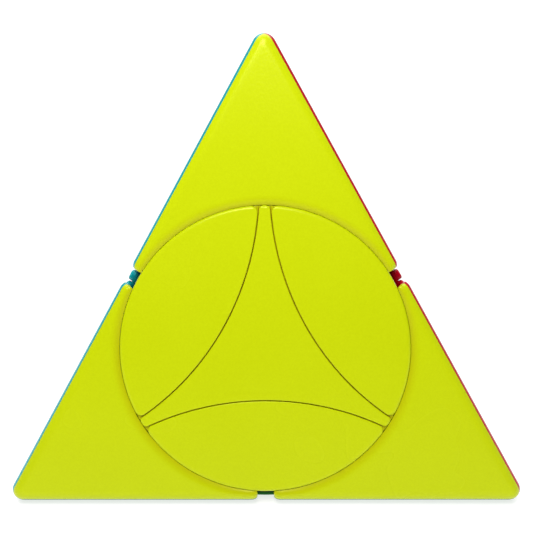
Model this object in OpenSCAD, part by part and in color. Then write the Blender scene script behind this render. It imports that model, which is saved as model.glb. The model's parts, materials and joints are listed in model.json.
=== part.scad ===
// Four-faced twisty puzzle with a turning disc set in each face.
// It stands on its green face, yellow face toward -Y, +Z up, millimetres.
// The origin is the middle of the green face, on the table.

/* [Body] */
// length of one sharp edge of the four-faced body
edge = 100; // [80:1:120]
// rounding of the long edges
edge_round = 2.1; // [1:0.1:2.4]
// height taken off each point by the rounded tip
tip_trim = 4.2; // [2.5:0.1:5]
// thickness of the coloured corner shells
wall = 2; // [1.6:0.1:2.4]
// how far a corner piece reaches from its own point
corner_reach = 48.5; // [47.5:0.1:48.6]
// width of the sloped dip beside each disc
dip_w = 2.6; // [1:0.1:4]
// depth of the sloped dip beside each disc
dip_d = 0.5; // [0.45:0.05:0.8]

/* [Discs] */
// radius of a disc
disc_r = 25.8; // [25.5:0.1:26.6]
// gap between a disc's rim and the corner pieces' curved seat
disc_gap = 0.12; // [0.1:0.02:0.3]
// thickness of a disc
disc_t = 2.8; // [2.4:0.1:3.4]
// straight part of a disc's rim
rim_band = 1.6; // [0.8:0.1:1.6]
// small break on a disc's rim
rim_break = 0.4; // [0.2:0.1:0.6]
// radius of the curved cut between star and petals, from a body point
cut_r = 49.1; // [48.4:0.1:49.2]
// gap along that curved cut
cut_gap = 0.2; // [0.1:0.05:0.4]
// turn of the front (yellow) disc
front_turn = 60; // [0:60:300]
// turn of the right (red) disc
right_turn = 0; // [0:60:300]
// turn of the left (blue) disc
left_turn = 0; // [0:60:300]
// turn of the bottom (green) disc
bottom_turn = 60; // [0:60:300]

/* [Mechanism] */
// radius of the ball in the middle
core_r = 6.2; // [5:0.1:7.5]
// radius of the core's eight posts
post_r = 2.4; // [2:0.1:3]
// height of the posts under the discs
disc_post = 8.5; // [7:0.1:9]
// height of the posts under the corners
corner_post = 14; // [12:0.1:15]
// radius of the screw shanks
shank_r = 1.05; // [0.8:0.05:1.3]
// clearance on screws, pegs and sliding parts
play = 0.05; // [0.02:0.01:0.1]
// radius of a hub's flange
flange_r = 12.5; // [10:0.5:13]
// thickness of a hub's flange
flange_t = 1.8; // [1.2:0.1:2.4]
// coils in each spring
turns = 4; // [3:1:6]
// radius of the spring wire
wire_r = 0.28; // [0.2:0.02:0.4]

/* [Hidden] */
$fn = 96;

r_in = edge / (2 * sqrt(3));          // face middle to edge
h = edge * sqrt(2 / 3) / 4;           // body centre to face
tilt = acos(1 / 3);                   // face normal from vertical
seat_r = norm([disc_r, h - rim_break]) + disc_gap;  // ball that parts discs from corners
tip = [0, 2 * r_in, h];               // a body point, seen from its face
web = 1.4;
disc_bore = 3.3;
corner_bore = 2.8;
floor_z = h - disc_t;                 // underside of a disc
yellow = [0.82, 0.87, 0.06];
red = [0.75, 0.04, 0.12];
blue = [0.12, 0.62, 0.66];
green = [0.05, 0.36, 0.08];
dark = [0.10, 0.10, 0.11];
steel = [0.72, 0.73, 0.75];
spin = [0, 120, -120, 0];
turn = [front_turn, right_turn, left_turn, bottom_turn];

// frame of face i: 0 front, 1 right, 2 left, 3 bottom
module on_face(i) {
  translate([0, 0, h])
    if (i == 3) rotate([0, 180, 0]) children();
    else rotate([0, 0, spin[i]]) rotate([tilt, 0, 0]) children();
}

// frame of point i: 0 top, 1 right, 2 left, 3 rear
module on_point(i) {
  translate([0, 0, h])
    if (i == 0) children();
    else rotate([0, 0, [0, -120, 120, 0][i]])
      rotate([tilt - 180, 0, 0]) rotate([0, 0, 180]) children();
}

// side k of a corner piece: 0, 1, 2 stand at -90, 30, 150 degrees
module on_side(k) {
  rotate([0, 0, 120 * k]) rotate([tilt, 0, 0]) children();
}

// removes the sharp long edge on the side at angle a of a face
module edge_cut(a) {
  u = r_in - edge_round * sqrt(2);
  rotate([0, 0, a]) difference() {
    translate([u, -edge, h - edge_round - 0.5]) cube([5, 2 * edge, edge_round + 2]);
    translate([u, -edge - 1, h - edge_round]) rotate([-90, 0, 0])
      cylinder(r = edge_round, h = 2 * edge + 2);
  }
}

// one coloured plate of a corner piece, lying in its face
module corner_plate() {
  top = h - 0.06;
  difference() {
    intersection() {
      translate([0, 0, h - wall]) rotate([0, 0, 90])
        cylinder(h = wall, r1 = 2 * sqrt(2) * (top - wall), r2 = 2 * sqrt(2) * top, $fn = 3);
      translate(tip) sphere(r = corner_reach);
      sphere(r = 3 * h - tip_trim);
    }
    sphere(r = seat_r);
    translate([0, 0, h - dip_d])
      cylinder(h = dip_d + 0.01, r1 = disc_r + 0.2, r2 = disc_r + 0.2 + dip_w);
    edge_cut(30);
    edge_cut(150);
  }
  for (y = [36, 44]) translate([0, y, h - wall - 2.4]) cylinder(r = 1.2, h = 2.5);
}

module corner_shell(k) on_side(k) corner_plate();

// inner body of a corner piece: curved seat, peg holes and a hollow stem
module corner_frame() {
  q = h - wall - 0.05;
  difference() {
    intersection() {
      translate([0, 0, -q]) rotate([0, 0, 90])
        cylinder(h = 4 * q, r1 = 2 * r_in * q / h, r2 = 0, $fn = 3);
      union() {
        difference() {
          translate([0, 0, 3 * h]) sphere(r = corner_reach - 0.6);
          sphere(r = seat_r);
        }
        translate([0, 0, corner_post + 0.2])
          cylinder(h = 22, r1 = 3.8, r2 = 9.2);
      }
    }
    translate([0, 0, corner_post + 0.2 + web]) cylinder(r = corner_bore, h = 26);
    cylinder(r = shank_r + 0.35, h = 40);
    for (k = [0:2]) on_side(k)
      for (y = [36, 44]) translate([0, y, h - wall - 2.6]) cylinder(r = 1.2 + play, h = 4);
  }
}

// disc before it is cut into a star and three petals
module disc_blank() {
  low = sqrt(2) * floor_z - 0.4;
  rotate_extrude() polygon([[0, floor_z], [low, floor_z], [disc_r, h - rim_band],
    [disc_r, h - rim_break], [disc_r - rim_break, h], [0, h]]);
}

// three-armed middle plate of a disc, with a plug for the hub
module disc_star() {
  difference() {
    disc_blank();
    for (a = [0:120:240]) rotate([0, 0, a]) translate(tip) sphere(r = cut_r + cut_gap / 2);
  }
  translate([0, 0, floor_z - 1]) cylinder(r = disc_bore - play, h = 1.1);
}

// petal with the hooked foot that goes under the hub's flange
module disc_petal() {
  foot_z = floor_z - flange_t - 1.6;
  intersection() {
    disc_blank();
    translate(tip) sphere(r = cut_r - cut_gap / 2);
  }
  translate([-4, flange_r + 0.3, foot_z]) cube([8, 2.6, floor_z - foot_z + 0.1]);
  translate([-4, flange_r - 3, foot_z]) cube([8, 4, 1.5]);
}

// flanged sleeve that turns on a core post
module disc_hub() {
  z0 = disc_post + 0.2;
  difference() {
    union() {
      translate([0, 0, z0]) cylinder(r = 4.6, h = floor_z - z0);
      translate([0, 0, floor_z - flange_t]) cylinder(r = flange_r, h = flange_t);
    }
    translate([0, 0, z0 + web]) cylinder(r = disc_bore, h = 20);
    cylinder(r = shank_r + 0.35, h = 20);
  }
}

module core_body() {
  difference() {
    union() {
      sphere(r = core_r);
      for (i = [0:3]) translate([0, 0, -h]) on_face(i) cylinder(r = post_r, h = disc_post);
      for (i = [0:3]) translate([0, 0, -h]) on_point(i) cylinder(r = post_r, h = corner_post);
    }
    for (i = [0:3]) translate([0, 0, -h]) on_face(i)
      translate([0, 0, 3.9]) cylinder(r = shank_r + play, h = 20);
    for (i = [0:3]) translate([0, 0, -h]) on_point(i)
      translate([0, 0, 4.9]) cylinder(r = shank_r + play, h = 20);
  }
}

// screw from z0 to the underside of its head at z1, with a cross slot
module screw(z0, z1, head) {
  translate([0, 0, z0]) cylinder(r = shank_r, h = z1 - z0 + 0.1);
  difference() {
    translate([0, 0, z1]) cylinder(r = head, h = 1.5);
    for (a = [0, 90]) rotate([0, 0, a])
      translate([-head * 0.6, -0.3, z1 + 0.8]) cube([head * 1.2, 0.6, 1]);
  }
}

module washer(z, r) {
  translate([0, 0, z]) difference() {
    cylinder(r = r, h = 0.5);
    translate([0, 0, -1]) cylinder(r = shank_r + 0.1, h = 3);
  }
}

// coil from z0 to z1: rings of six points swept round the axis
module coil(z0, z1, r) {
  n = 10 * turns;
  ring = [for (i = [0:n]) for (j = [0:5])
    let (a = 36 * i, b = 60 * j, q = r + wire_r * cos(b))
    [q * cos(a), q * sin(a), z0 + wire_r + (z1 - z0 - 2 * wire_r) * i / n + wire_r * sin(b)]];
  side = [for (i = [0:n - 1]) for (j = [0:5])
    [6 * i + j, 6 * i + 6 + j, 6 * i + 6 + (j + 1) % 6, 6 * i + (j + 1) % 6]];
  ends = [[0, 1, 2, 3, 4, 5], [for (j = [5:-1:0]) 6 * n + j]];
  polyhedron(points = ring, faces = concat(side, ends), convexity = 10);
}

disc_stack = disc_post + 0.2 + web;      // hub web top
corner_stack = corner_post + 0.2 + web;  // frame web top

module core() color(dark) translate([0, 0, h]) core_body();
module frame(i) color(dark) on_point(i) corner_frame();
module shell(i, k, c) color(c) on_point(i) corner_shell(k);
module hub(i) color(dark) on_face(i) disc_hub();
module star(i, c) color(c) on_face(i) rotate([0, 0, turn[i]]) disc_star();
module petal(i, k, c) color(c) on_face(i) rotate([0, 0, turn[i] + 120 * k]) disc_petal();

module corner_screws() color(steel)
  for (i = [0:3]) on_point(i) screw(5, corner_stack + 6.2, 2.4);
module corner_washers() color(steel)
  for (i = [0:3]) on_point(i) washer(corner_stack + 5.6, 2.5);
module corner_springs() color(steel)
  for (i = [0:3]) on_point(i) coil(corner_stack + 0.02, corner_stack + 5.58, 2.1);
module disc_screws() color(steel)
  for (i = [0:3]) on_face(i) screw(4, disc_stack + 4.6, 2.7);
module disc_washers() color(steel)
  for (i = [0:3]) on_face(i) washer(disc_stack + 4, 2.9);
module disc_springs() color(steel)
  for (i = [0:3]) on_face(i) coil(disc_stack + 0.02, disc_stack + 3.98, 2.4);

core();
frame(0);  // frame_top
frame(1);  // frame_right
frame(2);  // frame_left
frame(3);  // frame_rear
shell(0, 0, yellow);  // shell_top_yellow
shell(0, 1, red);  // shell_top_red
shell(0, 2, blue);  // shell_top_blue
shell(1, 0, green);  // shell_right_green
shell(1, 1, red);  // shell_right_red
shell(1, 2, yellow);  // shell_right_yellow
shell(2, 0, green);  // shell_left_green
shell(2, 1, yellow);  // shell_left_yellow
shell(2, 2, blue);  // shell_left_blue
shell(3, 0, green);  // shell_rear_green
shell(3, 1, blue);  // shell_rear_blue
shell(3, 2, red);  // shell_rear_red
hub(0);  // hub_front
hub(1);  // hub_right
hub(2);  // hub_left
hub(3);  // hub_bottom
star(0, yellow);  // star_front
star(1, red);  // star_right
star(2, blue);  // star_left
star(3, green);  // star_bottom
petal(0, 0, yellow);  // petal_front_a
petal(0, 1, yellow);  // petal_front_b
petal(0, 2, yellow);  // petal_front_c
petal(1, 0, red);  // petal_right_a
petal(1, 1, red);  // petal_right_b
petal(1, 2, red);  // petal_right_c
petal(2, 0, blue);  // petal_left_a
petal(2, 1, blue);  // petal_left_b
petal(2, 2, blue);  // petal_left_c
petal(3, 0, green);  // petal_bottom_a
petal(3, 1, green);  // petal_bottom_b
petal(3, 2, green);  // petal_bottom_c
corner_screws();
corner_washers();
corner_springs();
disc_screws();
disc_washers();
disc_springs();
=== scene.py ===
import json
import math

import bpy
import numpy as np
from mathutils import Matrix, Quaternion, Vector


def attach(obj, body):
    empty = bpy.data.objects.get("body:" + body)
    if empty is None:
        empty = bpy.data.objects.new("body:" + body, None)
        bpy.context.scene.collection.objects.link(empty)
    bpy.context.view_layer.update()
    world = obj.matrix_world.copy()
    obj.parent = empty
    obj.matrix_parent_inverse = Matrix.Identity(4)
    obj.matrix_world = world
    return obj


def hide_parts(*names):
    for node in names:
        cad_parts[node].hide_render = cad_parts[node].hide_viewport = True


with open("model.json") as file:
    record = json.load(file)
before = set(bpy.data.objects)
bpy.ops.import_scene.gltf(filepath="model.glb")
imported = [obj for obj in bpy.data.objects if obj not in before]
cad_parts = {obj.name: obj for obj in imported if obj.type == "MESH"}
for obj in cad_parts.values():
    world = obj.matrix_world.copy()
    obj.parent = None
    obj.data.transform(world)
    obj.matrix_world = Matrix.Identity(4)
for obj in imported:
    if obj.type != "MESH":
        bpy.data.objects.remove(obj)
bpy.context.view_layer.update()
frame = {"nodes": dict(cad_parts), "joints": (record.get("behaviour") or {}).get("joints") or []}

# ---------------------------------------------------------------- sizes, millimetres
MM = 0.001
H = frame["joints"][0]["pos_m"][2] / MM          # body centre to a face
EDGE = 4 * H / math.sqrt(2 / 3)                  # sharp edge of the four-faced body
R_IN = EDGE / (2 * math.sqrt(3))                 # face middle to an edge
TILT = math.degrees(math.acos(1 / 3))            # face normal from vertical
ROUND = 2.1                                      # rounding of edges and points
WALL = 2.0                                       # shell thickness
REACH = 48.5                                     # a corner piece ends this far from its point
DISC_R = 25.8                                    # disc radius
RIM_R = 25.82                                    # where the corner pieces' faces end beside a disc
CUT_R = 49.1                                     # curved cut between star and petals
CUT_GAP = 0.2
FLOOR = H - 2.8                                  # underside of a disc
BAND = H - 1.6                                   # where a disc's rim starts to taper
# Depth of the rounded corners of a disc's plates, which are sharp below it. The front disc's own depth was
# tuned.
LEDGE = {"front": 0.5, "right": 1.15, "left": 1.15, "bottom": 1.15}
EDGE_ROLL, FLAT_INSET = 0.16, 0.25               # rounding of a plate's edges, inset of its flat top
SEAT_R = 32.68                                   # inner sphere of the shells, whose lips come 0.02 inside it
DIP_W, DIP_SLOPE, DIP_POWER = 1.7, 0.55, 2.5     # dip beside a disc: width, slope at the rim, curve
LIP, LIP_GAIN, LIP_RUN = 0.02, 0.28, 1.2         # shell's lip: thickness, what it gains, over what width
END_RUN, END_FADE, END_SHRINK = 1.1, 1.6, 0.62   # shell's rounded end: length, fade-in width, shrinking
PEG_R, PEG_LENGTH, PEG_PLACES = 1.2, 2.4, (36, 44)
FLANGE_R, FLANGE_T = 12.5, 1.8                   # hub flange that the petals hook under
FOOT_T, FOOT_DROP, FOOT_HALF = 1.5, 1.6, 4       # petal's foot: thickness, drop below the flange, half width
PLUG_R = 3.25                                    # star's plug in the hub

# points along a petal's rim, corners and cut, and along a star arm's end and corners
RIM_STEPS, CORNER_STEPS, CUT_STEPS = 90, 12, 64
ARM_STEPS, ARM_CORNER_STEPS = 4, 10
ROLL_STEPS = 7
SKIN_HALVINGS, END_HALVINGS = 44, 36             # steps of the two searches by halving

TURN = {"front": 60, "right": 0, "left": 0, "bottom": 60}
FACE_SPIN = {"front": 0, "right": 120, "left": -120}
POINT_SPIN = {"right": -120, "left": 120, "rear": 0}
FACE_COLOUR = {"front": "yellow", "right": "red", "left": "blue", "bottom": "green"}
POINT_COLOURS = {
    "top": ("yellow", "red", "blue"),
    "right": ("green", "red", "yellow"),
    "left": ("green", "yellow", "blue"),
    "rear": ("green", "blue", "red"),
}


def rot(degrees, axis):
    return Matrix.Rotation(math.radians(degrees), 4, axis)


CENTRE = Matrix.Translation((0, 0, H))


def face_matrix(face):
    """Face frame, origin in the body's centre and +Z out of the face, to the row frame."""
    if face == "bottom":
        return CENTRE @ rot(180, "Y")
    return CENTRE @ rot(FACE_SPIN[face], "Z") @ rot(TILT, "X")


def side_matrix(point, k):
    """Face frame of side k of a corner piece, with that piece's point at +Y."""
    side = rot(120 * k, "Z") @ rot(TILT, "X")
    if point == "top":
        return CENTRE @ side
    return CENTRE @ rot(POINT_SPIN[point], "Z") @ rot(TILT - 180, "X") @ rot(180, "Z") @ side


# ---------------------------------------------------------------- mesh helpers
class Shape:
    """Vertices and faces of one piece, gathered from closed shells."""

    def __init__(self):
        self.verts, self.faces, self.sharp, self.shade, self.count = [], [], [], [], 0

    def add(self, points, shade=0.0):
        """Add points, with painted shade: 0 on open surfaces, up to 1 deep in a gap."""
        first = self.count
        self.verts.append(np.asarray(points, float))
        self.shade.append(np.broadcast_to(np.asarray(shade, float), len(points)))
        self.count += len(points)
        return np.arange(first, self.count)

    def band(self, a, b, closed=True):
        """Quads between two rows of vertex numbers."""
        n = len(a)
        for i in range(n if closed else n - 1):
            j = (i + 1) % n
            self.faces.append((a[i], a[j], b[j], b[i]))

    def crease(self, row, closed=True):
        n = len(row)
        for i in range(n if closed else n - 1):
            self.sharp.append((row[i], row[(i + 1) % n]))

    def build(self, name, matrix, material):
        points = np.concatenate(self.verts)
        m = np.array(matrix)
        points = (points @ m[:3, :3].T + m[:3, 3]) * MM
        mesh = bpy.data.meshes.new(name)
        mesh.from_pydata(points.tolist(), [], [tuple(int(v) for v in f) for f in self.faces])
        # painted shade per vertex, by which the material darkens the colour
        mesh.attributes.new("shade", "FLOAT", "POINT").data.foreach_set("value", np.concatenate(self.shade))
        mesh.materials.append(material)
        mesh.shade_smooth()
        wanted = {tuple(sorted((int(a), int(b)))) for a, b in self.sharp}
        for e in mesh.edges:
            if tuple(sorted(e.vertices)) in wanted:
                e.use_edge_sharp = True
        mesh.validate()
        obj = bpy.data.objects.new(name, mesh)
        bpy.context.scene.collection.objects.link(obj)
        return obj


def arc(centre, radius, start, end, n, outward=1):
    """n points on an arc, with normals away from its centre, or towards it."""
    a = np.radians(np.linspace(start, end, n, endpoint=False))
    d = np.stack([np.cos(a), np.sin(a)], 1)
    return np.array(centre) + radius * d, d * outward


def angle(v):
    return math.degrees(math.atan2(v[1], v[0]))


def petal_outline(shrink, spread, corner):
    """Closed outline of a petal: rim arc, curved cut and two rounded corners."""
    rim, cut = DISC_R - shrink, CUT_R - CUT_GAP / 2 + spread
    tip = np.array([0, 2 * R_IN])
    a, b = rim - corner, cut - corner
    y = (a * a - b * b + tip[1] ** 2) / (2 * tip[1])
    x = math.sqrt(a * a - y * y)
    p, q = np.array([x, y]), np.array([-x, y])
    a0 = angle(p)
    b0 = angle(q - tip) % 360
    parts = [
        arc((0, 0), rim, a0, 180 - a0, RIM_STEPS),
        arc(q, corner, 180 - a0, b0, CORNER_STEPS),
        arc(tip, cut, b0, 540 - b0, CUT_STEPS),
        arc(p, corner, 540 - b0, 360 + a0, CORNER_STEPS),
    ]
    points, normals = (np.concatenate(x) for x in zip(*parts))
    rimness = np.concatenate([
        np.ones(RIM_STEPS),
        np.linspace(1, 0, CORNER_STEPS),
        np.zeros(CUT_STEPS),
        np.linspace(0, 1, CORNER_STEPS),
    ])
    return points, normals, rimness


def star_outline(shrink, spread, corner):
    """Closed outline of a star: three arms between three curved cuts."""
    rim, cut = DISC_R - shrink, CUT_R + CUT_GAP / 2 - spread
    tip = 2 * R_IN
    a, b = rim - corner, cut + corner
    y = (a * a - b * b + tip * tip) / (2 * tip)
    off = math.degrees(math.atan2(y, math.sqrt(a * a - y * y))) - 30
    points, normals, rimness = [], [], []

    def at(degrees, r):
        return np.array([math.cos(math.radians(degrees)), math.sin(math.radians(degrees))]) * r

    for arm in (30, 150, 270):
        p, q = at(arm - off, a), at(arm + off, a)
        before, after = at(arm - 60, tip), at(arm + 60, tip)
        following = at(arm + 120 - off, a)
        s = angle(before - p)
        e = angle(after - q)
        s -= 360 * round((s - arm + 85) / 360)
        e -= 360 * round((e - arm - 85) / 360)
        c0 = angle(q - after)
        c1 = angle(following - after)
        c1 -= 360 * round((c1 - c0 + 51) / 360)
        for part, share in (
            (arc(p, corner, s, arm - off, ARM_CORNER_STEPS), np.linspace(0, 1, ARM_CORNER_STEPS)),
            (arc((0, 0), rim, arm - off, arm + off, ARM_STEPS), np.ones(ARM_STEPS)),
            (arc(q, corner, arm + off, e, ARM_CORNER_STEPS), np.linspace(1, 0, ARM_CORNER_STEPS)),
            (arc(after, cut, c0, c1, CUT_STEPS, -1), np.zeros(CUT_STEPS)),
        ):
            points.append(part[0])
            normals.append(part[1])
            rimness.append(share)
    return np.concatenate(points), np.concatenate(normals), np.concatenate(rimness)


def flat(xy, z):
    return np.column_stack([xy, np.broadcast_to(z, len(xy))])


def disc_plate(outline, depth, corner, low_corner, rim_width, rim_drop):
    """Plate of a disc: flat top, rolled edge, and a square-cornered foot under a small ledge."""
    shape = Shape()
    p, n, rimness = outline(0, 0, corner)
    low, _, _ = outline(0.02, 0.085, low_corner)
    roll = (EDGE_ROLL + rim_width * rimness)[:, None]
    sink = EDGE_ROLL + rim_drop * rimness
    # painted shade in the gaps, darkening the colour: 1 along the cuts, 0.8 on the rim, 0.5 in the corners
    # between them
    painted_shade = np.where(rimness == 0, 1.0, np.where(rimness == 1, 0.8, 0.5))
    rows = [shape.add(flat(p - n * (roll + FLAT_INSET), H))]
    for a in np.linspace(90, 0, ROLL_STEPS):
        inset = roll * (1 - math.cos(math.radians(a)))
        drop = sink * (1 - math.sin(math.radians(a)))
        # painted shade: 0.6 of it at the foot of the roll, all of it on the ledge rows, full painted shade on
        # the foot row
        rows.append(shape.add(flat(p - n * inset, H - drop), painted_shade * (0.6 if a == 0 else 0.0)))
    ledge = H - np.maximum(depth, sink + 0.02)
    rows.append(shape.add(flat(p, ledge), painted_shade))
    rows.append(shape.add(flat(low, ledge), painted_shade))
    rows.append(shape.add(flat(low, BAND), 1))
    limit = math.sqrt(2) * FLOOR - 0.4
    reach = np.linalg.norm(low, axis=1)[:, None]
    taper = low * np.minimum(1, (limit + (DISC_R - limit) * 0.02) / reach)
    rows.append(shape.add(flat(taper, FLOOR)))
    for a, b in zip(rows, rows[1:]):
        shape.band(b, a)
    shape.faces.append(tuple(rows[0]))
    shape.faces.append(tuple(rows[-1][::-1]))
    # the ledge, the foot below it and the underside keep sharp edges
    for k in (8, 9, 10, 11):
        shape.crease(rows[k])
    return shape


def prism(shape, profile, x0, x1):
    """Closed bar from x0 to x1 with a profile of (y, z) points."""
    profile = np.array(profile, float)
    a = shape.add(np.column_stack([np.full(len(profile), x0), profile]))
    b = shape.add(np.column_stack([np.full(len(profile), x1), profile]))
    shape.band(b, a)
    shape.faces += [tuple(a), tuple(b[::-1])]
    shape.crease(a)
    shape.crease(b)
    for i, j in zip(a, b):
        shape.sharp.append((i, j))


def post(shape, x, y, z0, z1, r, n=40):
    """Closed upright cylinder."""
    a = np.radians(np.arange(n) * 360 / n)
    ring = np.stack([x + r * np.cos(a), y + r * np.sin(a)], 1)
    low, high = shape.add(flat(ring, z0)), shape.add(flat(ring, z1))
    shape.band(low, high)
    shape.faces += [tuple(low[::-1]), tuple(high)]
    shape.crease(low)
    shape.crease(high)


def petal_shape(face):
    shape = disc_plate(petal_outline, LEDGE[face], 1.2, 0.06, 0.46, 0.46)
    foot = FLOOR - FLANGE_T - FOOT_DROP
    tip, neck, back = FLANGE_R - 3, FLANGE_R + 0.3, FLANGE_R + 2.9
    hook = [(tip, foot), (back, foot), (back, FLOOR),
            (neck, FLOOR), (neck, foot + FOOT_T), (tip, foot + FOOT_T)]
    prism(shape, hook, -FOOT_HALF, FOOT_HALF)
    return shape


def star_shape(face):
    shape = disc_plate(star_outline, LEDGE[face], 0.85, 0.06, 0.4, 0.5)
    post(shape, 0, 0, FLOOR - 1, FLOOR, PLUG_R)
    return shape


# ---------------------------------------------------------------- rounded body
def outside(p):
    """Distance from points of the face plane to the face's flat part."""
    r = R_IN * (H - ROUND) / H
    corners = [
        2 * r * np.array([math.cos(math.radians(a)), math.sin(math.radians(a))])
        for a in (90, 210, 330)
    ]
    normals = [np.array([math.cos(math.radians(a)), math.sin(math.radians(a))]) for a in (30, 150, 270)]
    within = np.all([p @ n <= r for n in normals], axis=0)
    best = np.full(len(p), 1e9)
    for i in range(3):
        a, b = corners[i], corners[(i + 1) % 3]
        t = np.clip((p - a) @ (b - a) / ((b - a) @ (b - a)), 0, 1)
        best = np.minimum(best, np.linalg.norm(p - a - t[:, None] * (b - a), axis=1))
    return np.where(within, 0, best)


def skin(p):
    """Where the lines from the body's centre through points of the face plane leave the rounded body."""
    q = flat(p, H)
    low, high = np.full(len(q), 0.8), np.full(len(q), 1.0 + 1e-9)
    for _ in range(SKIN_HALVINGS):
        mid = (low + high) / 2
        s = q * mid[:, None]
        d = np.hypot(outside(s[:, :2]), np.maximum(s[:, 2] - H + ROUND, 0))
        inside = d <= ROUND
        low, high = np.where(inside, mid, low), np.where(inside, high, mid)
    return q * low[:, None]


RIM_ROWS = np.array([0, 0.1, 0.25, 0.45, 0.7, 1.0, 1.35, 1.7, 2.05, 2.4, 2.8])
EDGE_ROWS = np.array([0, 0.12, 0.28, 0.48, 0.7, 0.95, 1.25, 1.6, 2.0, 2.4, 2.83, 3.15])
MID_ROWS = 9
END_COLS = np.array([0, 0.1, 0.22, 0.38, 0.6, 0.85, 1.15, 1.5, 1.9, 2.4, 3.1, 4.2, 5.6])
TIP_COLS = np.array([6, 4.6, 3.5, 2.6, 1.9, 1.35, 0.9, 0.5, 0.2, 0])
SPAN = 56.0


def row_radius(phi, seam):
    """Radii of the rows of a shell at an angle phi, from the disc's rim to the seam."""
    lean = np.cos(np.radians(phi - 30))
    edge = (R_IN + seam) / lean
    width = edge - RIM_R
    sc = np.minimum(1, 0.94 * width / (RIM_ROWS[-1] + EDGE_ROWS[-1] / lean))
    rim = RIM_R + RIM_ROWS[None] * sc[:, None]
    outer = edge[:, None] - EDGE_ROWS[None, ::-1] * (sc / lean)[:, None]
    t = np.linspace(0, 1, MID_ROWS + 2)[1:-1]
    mid = rim[:, -1:] * (1 - t) + outer[:, :1] * t
    return np.concatenate([rim, mid, outer], axis=1)


def polar(r, phi):
    a = np.radians(phi)
    return np.stack([r * np.cos(a), r * np.sin(a)], -1)


def half_grid(seam):
    """Face-plane points of half a shell: columns from its end to the middle, rows from rim to seam."""
    tip = np.array([0, 2 * R_IN, H])
    rows = len(RIM_ROWS) + MID_ROWS + len(EDGE_ROWS)
    low, high = np.full(rows, 30.0), np.full(rows, 50.0)
    for _ in range(END_HALVINGS):
        mid = (low + high) / 2
        r = row_radius(mid, seam)[np.arange(rows), np.arange(rows)]
        far = np.linalg.norm(skin(polar(r, mid)) - tip, axis=1) > REACH
        low, high = np.where(far, mid, low), np.where(far, high, mid)
    middle = np.arange(END_COLS[-1], SPAN - TIP_COLS[0], 1.5)[1:]
    cols = np.concatenate([END_COLS, middle, SPAN - TIP_COLS])
    phi = high[None] + cols[:, None] / SPAN * (90 - high[None])
    r = np.stack([row_radius(phi[:, j], seam)[:, j] for j in range(rows)], 1)
    return polar(r, phi)


def shell_surface(grid, left):
    """Top and underside of half a shell, with the dip beside the disc, the rounded end, and painted shade in
    the dip.
    """
    cols, rows = grid.shape[:2]
    p = skin(grid.reshape(-1, 2))
    tip = np.array([0, 2 * R_IN, H])
    radius = np.linalg.norm(grid.reshape(-1, 2), axis=1)
    s = np.clip(RIM_R + DIP_W - radius, 0, None)
    top = p.copy()
    top[:, 2] -= DIP_SLOPE * DIP_W / DIP_POWER * (s / DIP_W) ** DIP_POWER
    far = np.linalg.norm(top, axis=1)
    scale = np.maximum(SEAT_R / far, (H - WALL) / p[:, 2])
    thin = LIP + LIP_GAIN * np.clip((radius - RIM_R) / LIP_RUN, 0, 1)
    under = top * np.minimum(scale, 1 - thin / far)[:, None]
    # rounded end: the section shrinks towards a line under the body's edge
    side = np.array([math.cos(math.radians(30)), math.sin(math.radians(30)), 0])
    if left:
        side[0] *= -1
    along = np.array([-side[1], side[0], 0])
    mid = side * R_IN + [0, 0, H]
    mid = mid / np.linalg.norm(mid) * (SEAT_R + 0.1)
    d = REACH - np.linalg.norm(p - tip, axis=1)
    c = 1 - np.clip(d / END_RUN, 0, 1)
    share = np.clip((radius - RIM_R) / END_FADE, 0, 1)
    shrink = (1 - np.sqrt(1 - c * c * 0.98)) * END_SHRINK * share
    for q in (top, under):
        anchor = mid + np.outer(q @ along, along)
        q += (anchor - q) * shrink[:, None]
    # painted shade in the dip, darker towards the disc's rim
    shade = 0.5 * (s / DIP_W) ** 1.5
    return top.reshape(cols, rows, 3), under.reshape(cols, rows, 3), shade.reshape(cols, rows)


def shell_shape(seams):
    """One coloured plate of a corner piece, in its face frame. seams: shift of the parting lines."""
    right = shell_surface(half_grid(seams[0]), False)
    other = half_grid(seams[1]) * [-1, 1]
    left = shell_surface(other, True)
    tops, unders, shades = (
        np.concatenate([a, b[-2::-1]]) for a, b in zip(right, left)
    )
    if seams[0] != seams[1]:
        m = right[0].shape[0] - 1
        tops[m] = (right[0][-1] + left[0][-1]) / 2
        unders[m] = (right[1][-1] + left[1][-1]) / 2
    shape = Shape()
    cols, rows = tops.shape[:2]
    t = shape.add(tops.reshape(-1, 3), shades.reshape(-1)).reshape(cols, rows)
    u = shape.add(unders.reshape(-1, 3)).reshape(cols, rows)
    for i in range(cols - 1):
        shape.band(t[i + 1], t[i], closed=False)
        shape.band(u[i], u[i + 1], closed=False)
    rim, seam = (t[:, 0], u[:, 0]), (t[::-1, -1], u[::-1, -1])
    first_end, last_end = (t[0, ::-1], u[0, ::-1]), (t[-1], u[-1])
    for top_row, low_row in (rim, seam, first_end, last_end):
        shape.band(top_row, low_row, closed=False)
        shape.crease(top_row, closed=False)
        shape.crease(low_row, closed=False)
    for i, j in ((0, 0), (0, -1), (-1, 0), (-1, -1)):
        shape.sharp.append((t[i, j], u[i, j]))
    for y in PEG_PLACES:
        post(shape, 0, y, H - WALL - PEG_LENGTH, H - WALL, PEG_R, 32)
    return shape


# ---------------------------------------------------------------- materials
def node(tree, kind, **values):
    n = tree.nodes.new(kind)
    for k, v in values.items():
        setattr(n, k, v)
    return n


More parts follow.
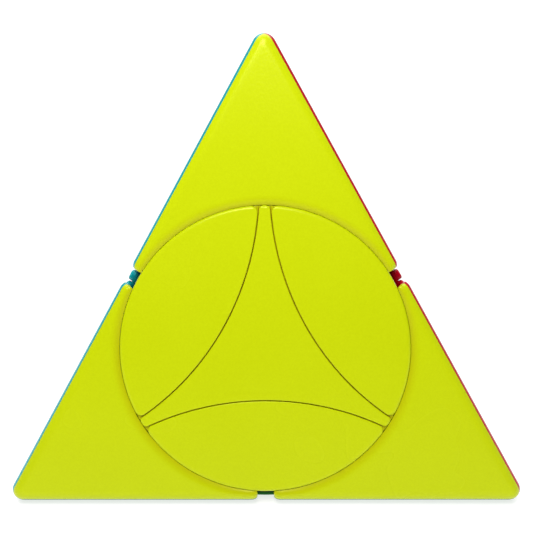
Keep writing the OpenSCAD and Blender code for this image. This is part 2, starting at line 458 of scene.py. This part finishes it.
def plastic(name, colour, sheen=(1, 1, 1), painted_shade=None, shine=0.5, roughness=0.25, grain=1.0):
    """Moulded plastic: satin, with a fine spark-eroded grain and faint flow variation, and where a painted
    shade colour is given, darkened towards it by painted shade in gaps and dips.
    """
    m = bpy.data.materials.new(name)
    m.use_nodes = True
    t = m.node_tree
    b = t.nodes["Principled BSDF"]
    coord = node(t, "ShaderNodeTexCoord")

    def noise(scale, detail, rough=0.5):
        n = node(t, "ShaderNodeTexNoise")
        n.inputs["Scale"].default_value = scale
        n.inputs["Detail"].default_value = detail
        n.inputs["Roughness"].default_value = rough
        t.links.new(coord.outputs["Object"], n.inputs["Vector"])
        return n

    speckle = noise(2600, 3)
    cloud = noise(45, 2)
    both = node(t, "ShaderNodeMath", operation="MULTIPLY_ADD")
    t.links.new(cloud.outputs["Fac"], both.inputs[0])
    both.inputs[1].default_value = 0.45
    t.links.new(speckle.outputs["Fac"], both.inputs[2])
    ramp = node(t, "ShaderNodeValToRGB")
    dark = [c * 0.965 for c in colour]
    light = [min(1, c * 1.03 + 0.002) for c in colour]
    ramp.color_ramp.elements[0].position = 0.45
    ramp.color_ramp.elements[0].color = (*dark, 1)
    ramp.color_ramp.elements[1].position = 1.0
    ramp.color_ramp.elements[1].color = (*light, 1)
    t.links.new(both.outputs[0], ramp.inputs["Fac"])
    # painted shade: the base colour is mixed towards a darker colour in gaps and dips
    if painted_shade:
        painted_shade_node = node(t, "ShaderNodeAttribute", attribute_name="shade")
        tone = node(t, "ShaderNodeMix", data_type="RGBA")
        t.links.new(painted_shade_node.outputs["Fac"], tone.inputs["Factor"])
        t.links.new(ramp.outputs["Color"], tone.inputs["A"])
        tone.inputs["B"].default_value = (*painted_shade, 1)
        t.links.new(tone.outputs["Result"], b.inputs["Base Color"])
    else:
        t.links.new(ramp.outputs["Color"], b.inputs["Base Color"])
    gloss = node(t, "ShaderNodeMapRange")
    gloss.inputs["To Min"].default_value = roughness - 0.05
    gloss.inputs["To Max"].default_value = roughness + 0.07
    t.links.new(cloud.outputs["Fac"], gloss.inputs["Value"])
    t.links.new(gloss.outputs["Result"], b.inputs["Roughness"])
    bump = node(t, "ShaderNodeBump")
    bump.inputs["Strength"].default_value = 0.10 * grain
    bump.inputs["Distance"].default_value = 0.0002
    t.links.new(speckle.outputs["Fac"], bump.inputs["Height"])
    t.links.new(bump.outputs["Normal"], b.inputs["Normal"])
    b.inputs["IOR"].default_value = 1.5
    b.inputs["Specular IOR Level"].default_value = shine
    b.inputs["Specular Tint"].default_value = (*sheen, 1)
    return m


def metal(name, colour):
    """Plated steel with a fine speckled grain."""
    m = plastic(name, colour, (1, 1, 1), None, 0.5, 0.32, 1.5)
    m.node_tree.nodes["Principled BSDF"].inputs["Metallic"].default_value = 1
    return m


# fourth value of each: the darker colour of painted shade in gaps and dips
COLOURS = {
    "yellow": plastic("yellow_plastic", (0.61, 0.715, 0.0), (0.95, 1, 0.3), (0.45, 0.34, 0.0)),
    "red": plastic("red_plastic", (0.50, 0.0, 0.014), (1, 0.25, 0.3), (0.25, 0.0, 0.004), 0.22),
    "blue": plastic("blue_plastic", (0.0, 0.36, 0.40), (0.4, 1, 1), (0.0, 0.12, 0.14)),
    "green": plastic("green_plastic", (0.0, 0.14, 0.005), (0.1, 0.7, 0.1), (0.0, 0.012, 0.0), 0.3),
}
DARK = plastic("dark_plastic", (0.012, 0.012, 0.014), (1, 1, 1), None, 0.5, 0.5)
STEEL = metal("steel", (0.55, 0.56, 0.58))

for name, obj in frame["nodes"].items():
    steel = name.split("_")[-1] in ("screws", "washers", "springs")
    obj.data.materials.clear()
    obj.data.materials.append(STEEL if steel else DARK)

# ---------------------------------------------------------------- pieces
HAIR = 0.02                                      # half a hairline between two shells
WRAP = 0.45                                      # side colours wrap this far round the yellow plates


def seam_shift(own, other):
    if own == "yellow":
        return -HAIR - WRAP
    if other == "yellow":
        return WRAP - HAIR
    return -HAIR


for point, colours in POINT_COLOURS.items():
    for k, colour in enumerate(colours):
        following, before = colours[(k + 1) % 3], colours[(k - 1) % 3]
        shape = shell_shape((seam_shift(colour, following), seam_shift(colour, before)))
        piece = shape.build(f"plate_{point}_{colour}", side_matrix(point, k), COLOURS[colour])
        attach(piece, f"corner_{point}")
        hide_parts(f"shell_{point}_{colour}")

for face, colour in FACE_COLOUR.items():
    at = face_matrix(face) @ rot(TURN[face], "Z")
    piece = star_shape(face).build(f"disc_star_{face}", at, COLOURS[colour])
    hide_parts(f"star_{face}")
    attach(piece, f"disc_{face}")
    for k, letter in enumerate("abc"):
        petal_at = at @ rot(120 * k, "Z")
        piece = petal_shape(face).build(f"disc_petal_{face}_{letter}", petal_at, COLOURS[colour])
        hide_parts(f"petal_{face}_{letter}")
        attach(piece, f"disc_{face}")

# ---------------------------------------------------------------- stage, light, camera
def pale(name, value, rough, glow):
    m = bpy.data.materials.new(name)
    m.use_nodes = True
    b = m.node_tree.nodes["Principled BSDF"]
    b.inputs["Base Color"].default_value = (value, value, value, 1)
    b.inputs["Roughness"].default_value = rough
    b.inputs["Specular IOR Level"].default_value = 0.2
    b.inputs["Emission Color"].default_value = (1, 1, 1, 1)
    b.inputs["Emission Strength"].default_value = glow
    return m


mesh = bpy.data.meshes.new("floor")
size = 3.0
mesh.from_pydata([(-size, -size, 0), (size, -size, 0), (size, size, 0), (-size, size, 0)], [], [(0, 1, 2, 3)])
floor = bpy.data.objects.new("floor", mesh)
# the floor glows, so that the part throws next to no shadow on it
mesh.materials.append(pale("pale_floor", 0.45, 0.7, 0.72))
floor.location.z = -0.0004
bpy.context.scene.collection.objects.link(floor)

world = bpy.data.worlds.new("studio")
world.use_nodes = True
world.node_tree.nodes["Background"].inputs["Color"].default_value = (1, 1, 1, 1)
world.node_tree.nodes["Background"].inputs["Strength"].default_value = 0.2
bpy.context.scene.world = world


def softbox(name, position, target, width, power):
    light = bpy.data.lights.new(name, "AREA")
    light.shape = "SQUARE"
    light.size = width
    light.energy = power
    obj = bpy.data.objects.new(name, light)
    obj.location = position
    obj.rotation_mode = "QUATERNION"
    obj.rotation_quaternion = (Vector(target) - Vector(position)).to_track_quat("-Z", "Y")
    bpy.context.scene.collection.objects.link(obj)


softbox("front", (0, -0.72, 0.77), (0, 0, 0), 0.18, 1.3)
softbox("background", (0, 1.0, 0.9), (0, 0.8, 0), 1.6, 15.0)
softbox("key", (-0.03, -0.105, 0.25), (0, 0, 0.04), 0.11, 0.385)

up = Vector((0, 1 / 3, math.sqrt(8) / 3))
out = Vector((0, -math.sqrt(8) / 3, 1 / 3))
middle = Vector((0, 0, H)) + out * H


def on_front(x, y, z):
    """Point given in the front face's own axes, in millimetres."""
    return (middle + Vector((x, 0, 0)) + up * y + out * z) * MM


camera = bpy.data.objects.new("camera", bpy.data.cameras.new("camera"))
bpy.context.scene.collection.objects.link(camera)
bpy.context.scene.camera = camera
eye, aim = on_front(1.16, 24.29, 119.27), on_front(0.26, 4.13, 0)
camera.location = eye
camera.rotation_mode = "QUATERNION"
roll = Quaternion((0, 0, 1), math.radians(-0.36))
camera.rotation_quaternion = (aim - eye).to_track_quat("-Z", "Y") @ roll
camera.data.sensor_width = 36
camera.data.lens = 46.57
camera.data.shift_y = 0.12
camera.data.clip_start = 0.01
bpy.context.scene.view_settings.view_transform = "Standard"
